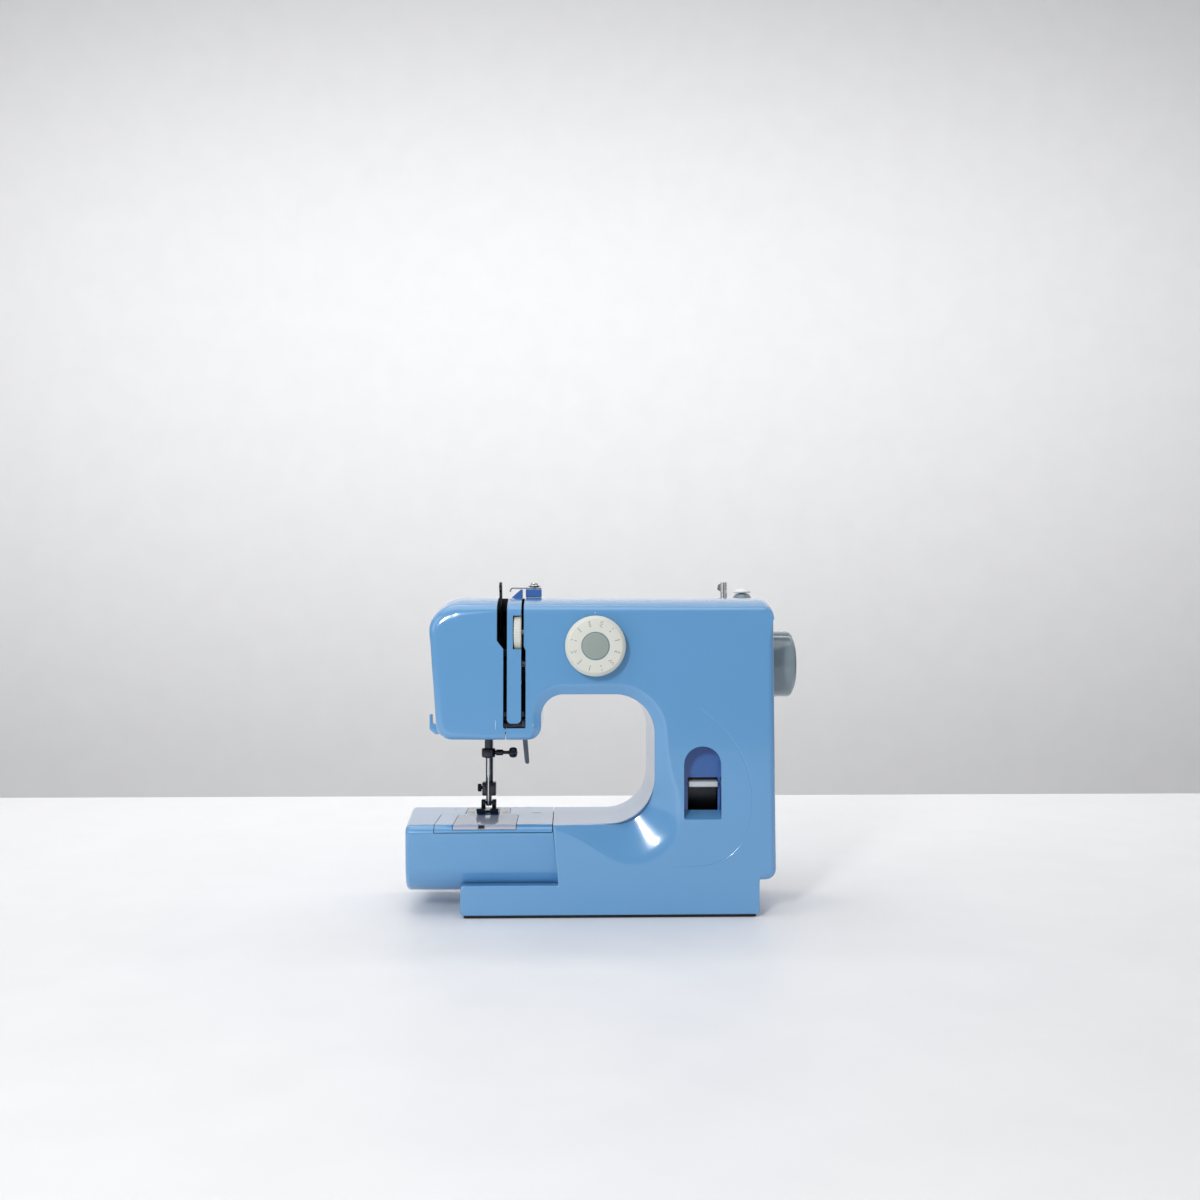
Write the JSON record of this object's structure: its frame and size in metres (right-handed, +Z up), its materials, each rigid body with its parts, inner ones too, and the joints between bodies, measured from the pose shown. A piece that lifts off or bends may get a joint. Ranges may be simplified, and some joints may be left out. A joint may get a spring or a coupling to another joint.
{
  "type": "sewing machine",
  "caption": "Compact free-arm sewing machine in glossy blue plastic, with a round stitch dial, side handwheel, reverse lever and drop-in bobbin under a clear cover.",
  "frame": {"origin": "on the underside of the bottom plate, below the inner face of the column side of the arm opening, midway front to back", "axes": "+X towards the handwheel, +Y towards the back, +Z up"},
  "size_m": [0.3125, 0.1194, 0.2586],
  "materials": {
    "blue": "gloss",
    "cream": "satin",
    "grey": "gloss",
    "pale_grey": "satin",
    "white": "satin",
    "black": "satin",
    "rubber": "matte",
    "clear": "gloss",
    "steel": "satin",
    "dark_steel": "satin",
    "chrome": "polished",
    "cast": "as cast",
    "brass": "satin",
    "lamp_glass": "clear"
  },
  "bodies": {
    "frame": {"front_cover": "blue", "face_cover": "blue", "rear_cover": "blue", "tension_housing": "blue", "bottom_plate": "rubber", "arm_cover": "blue", "bed_cover": "blue", "needle_plate": "steel", "plate_screw_1": "steel", "plate_screw_2": "steel", "bobbin_case": "black", "bar_frame": "cast", "lamp": "lamp_glass", "thread_cutter": "blue", "tension_stud": "steel", "power_inlet": "black", "shaft_bush_1": "brass", "shaft_bush_2": "brass", "timing_belt": "rubber", "motor_belt": "rubber", "motor": "dark_steel", "chassis": "cast", "guide_block": "blue", "thread_guide": "chrome", "pretension_disc": "chrome", "guide_screw": "chrome"},
    "drive": {"main_shaft": "steel", "drive_pulley": "black", "handwheel": "grey", "handwheel_cap": "grey"},
    "lower": {"lower_shaft": "steel"},
    "rotor": {"motor_pulley": "steel"},
    "hook": {"rotary_hook": "steel"},
    "bobbin_spool": {"bobbin": "clear"},
    "needle_group": {"needle_bar": "dark_steel", "needle_clamp": "dark_steel", "needle": "chrome"},
    "clamp_knob": {"needle_clamp_screw": "dark_steel"},
    "presser": {"presser_bar": "dark_steel", "presser_collar": "steel", "presser_spring": "steel", "foot_holder": "dark_steel"},
    "foot_knob": {"foot_screw": "dark_steel"},
    "foot": {"presser_foot": "dark_steel"},
    "lifter": {"presser_lifter": "grey"},
    "take_up": {"take_up_lever": "dark_steel"},
    "dial": {"stitch_dial": "cream", "dial_cap": "grey"},
    "tension": {"tension_wheel": "cream"},
    "reverse": {"lever_shield": "black", "reverse_lever": "pale_grey"},
    "bobbin_lid": {"bobbin_cover": "clear"},
    "latch": {"cover_latch": "black"},
    "spool": {"spool_pin": "chrome"},
    "winder_carrier": {"winder_arm": "white"},
    "winder": {"winder_spindle": "white", "winder_seat": "grey"},
    "rocker": {"power_switch": "black"},
    "feed": {"feed_dog": "steel"}
  },
  "joints": [
    {"name": "handwheel_turn", "type": "hinge", "parent": "frame", "child": "drive", "pos_m": [0, 0.003, 0.1905], "axis": [1, 0, 0], "continuous": true},
    {"name": "lower_shaft_turn", "type": "hinge", "parent": "frame", "child": "lower", "pos_m": [0, -0.01, 0.03], "axis": [1, 0, 0], "continuous": true},
    {"name": "motor_turn", "type": "hinge", "parent": "frame", "child": "rotor", "pos_m": [0, 0.022, 0.07], "axis": [1, 0, 0], "continuous": true},
    {"name": "hook_turn", "type": "hinge", "parent": "frame", "child": "hook", "pos_m": [-0.0884, -0.01, 0.05], "axis": [0, 0, 1], "continuous": true},
    {"name": "bobbin_spin", "type": "hinge", "parent": "frame", "child": "bobbin_spool", "pos_m": [-0.0884, -0.01, 0.05], "axis": [0, 0, 1], "continuous": true},
    {"name": "needle_bar_slide", "type": "slide", "parent": "frame", "child": "needle_group", "axis": [0, 0, 1], "range_m": [-0.022, 0.004]},
    {"name": "clamp_screw_turn", "type": "hinge", "parent": "needle_group", "child": "clamp_knob", "pos_m": [-0.0884, 0.012, 0.1188], "axis": [1, 0, 0], "continuous": true},
    {"name": "take_up_swing", "type": "hinge", "parent": "frame", "child": "take_up", "pos_m": [0, -0.008, 0.2], "axis": [1, 0, 0], "range_deg": [-8, 44]},
    {"name": "lifter_swing", "type": "hinge", "parent": "frame", "child": "lifter", "pos_m": [-0.062, 0.028, 0.141], "axis": [1, 0, 0], "range_deg": [0, 50]},
    {"name": "presser_bar_slide", "type": "slide", "parent": "frame", "child": "presser", "axis": [0, 0, 1], "range_m": [0, 0.00497], "deforming": ["presser_spring"]},
    {"name": "foot_screw_turn", "type": "hinge", "parent": "presser", "child": "foot_knob", "pos_m": [-0.0884, 0.024, 0.089], "axis": [1, 0, 0], "continuous": true},
    {"name": "foot_tilt", "type": "hinge", "parent": "presser", "child": "foot", "pos_m": [-0.0884, 0.0205, 0.0773], "axis": [1, 0, 0], "range_deg": [0, 8]},
    {"name": "stitch_select", "type": "hinge", "parent": "frame", "child": "dial", "pos_m": [-0.0036, -0.055, 0.2054], "axis": [0, -1, 0], "continuous": true},
    {"name": "tension_adjust", "type": "hinge", "parent": "frame", "child": "tension", "pos_m": [-0.062, -0.043, 0.2157], "axis": [1, 0, 0], "range_deg": [-150, 150]},
    {"name": "reverse_press", "type": "hinge", "parent": "frame", "child": "reverse", "pos_m": [0.0781, -0.005, 0.099], "axis": [1, 0, 0], "range_deg": [0, 18], "stiffness_Nm_per_rad": 0.5, "springref_deg": -17.19},
    {"name": "bobbin_cover_slide", "type": "slide", "parent": "frame", "child": "bobbin_lid", "axis": [0, -1, 0], "range_m": [0, 0.035]},
    {"name": "latch_press", "type": "slide", "parent": "bobbin_lid", "child": "latch", "axis": [0, 1, 0], "range_m": [0, 0.0015], "stiffness_N_per_m": 200, "springref_m": -0.001},
    {"name": "spool_pin_raise", "type": "slide", "parent": "frame", "child": "spool", "axis": [0, 0, 1], "range_m": [0, 0.025]},
    {"name": "winder_shift", "type": "slide", "parent": "frame", "child": "winder_carrier", "axis": [1, 0, 0], "range_m": [0, 0.004]},
    {"name": "winder_spin", "type": "hinge", "parent": "winder_carrier", "child": "winder", "pos_m": [0.121, 0.03, 0.24], "axis": [0, 0, 1], "continuous": true},
    {"name": "power_rocker", "type": "hinge", "parent": "frame", "child": "rocker", "pos_m": [0.129, 0.026, 0.078], "axis": [0, 1, 0], "range_deg": [-10, 0]},
    {"name": "feed_stroke", "type": "slide", "parent": "frame", "child": "feed", "axis": [0, 1, 0], "range_m": [-0.0015, 0.0015]}
  ],
  "couplings": [
    {"joint": "lower_shaft_turn", "follows": "handwheel_turn", "ratio": 1},
    {"joint": "motor_turn", "follows": "handwheel_turn", "ratio": 4.6667},
    {"joint": "hook_turn", "follows": "handwheel_turn", "ratio": 2},
    {"joint": "take_up_swing", "follows": "needle_bar_slide", "rad_per_m": -34.9},
    {"joint": "lifter_swing", "follows": "presser_bar_slide", "rad_per_m": 175.4},
    {"joint": "foot_tilt", "follows": "presser_bar_slide", "rad_per_m": 28}
  ]
}
